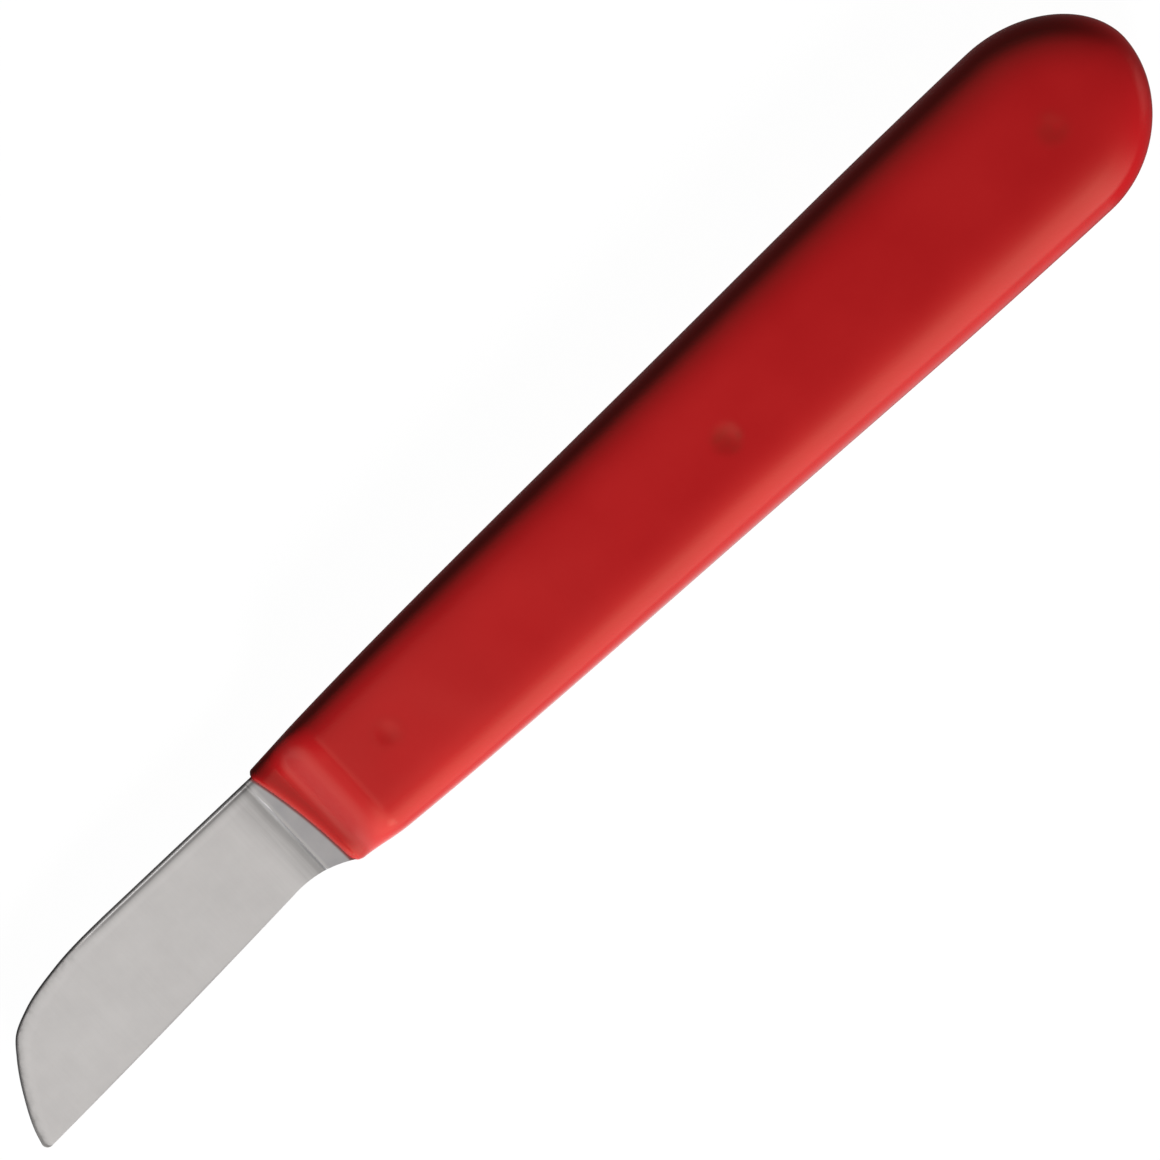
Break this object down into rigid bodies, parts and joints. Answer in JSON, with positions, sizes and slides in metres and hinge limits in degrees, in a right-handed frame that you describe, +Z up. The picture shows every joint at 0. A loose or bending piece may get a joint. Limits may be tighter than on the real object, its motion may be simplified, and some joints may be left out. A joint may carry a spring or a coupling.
{
  "type": "bench knife",
  "caption": "Small fixed-blade knife with a flat-ground blade, straight cutting edge, dropped nose and flat, round-ended grip in a smooth dipped skin.",
  "frame": {"origin": "bottom centre of the bounding box, on the plane of the grip's lower broad face", "axes": "+X along the knife to the blade's tip, +Y to the cutting edge, +Z up out of the upper broad face"},
  "size_m": [0.17, 0.0234, 0.0126],
  "materials": {
    "steel": "fine satin grind on the blade, darker unground ricasso",
    "scale_wood": "sanded, hidden under the skin",
    "pin_brass": "filed flush, hidden under the skin",
    "red_skin": "smooth dipped vinyl, soft gloss"
  },
  "bodies": {
    "root": {"blade": "steel", "upper_scale": "scale_wood", "lower_scale": "scale_wood", "front_pin": "pin_brass", "middle_pin": "pin_brass", "rear_pin": "pin_brass", "handle_coating": "red_skin"}
  },
  "joints": []
}
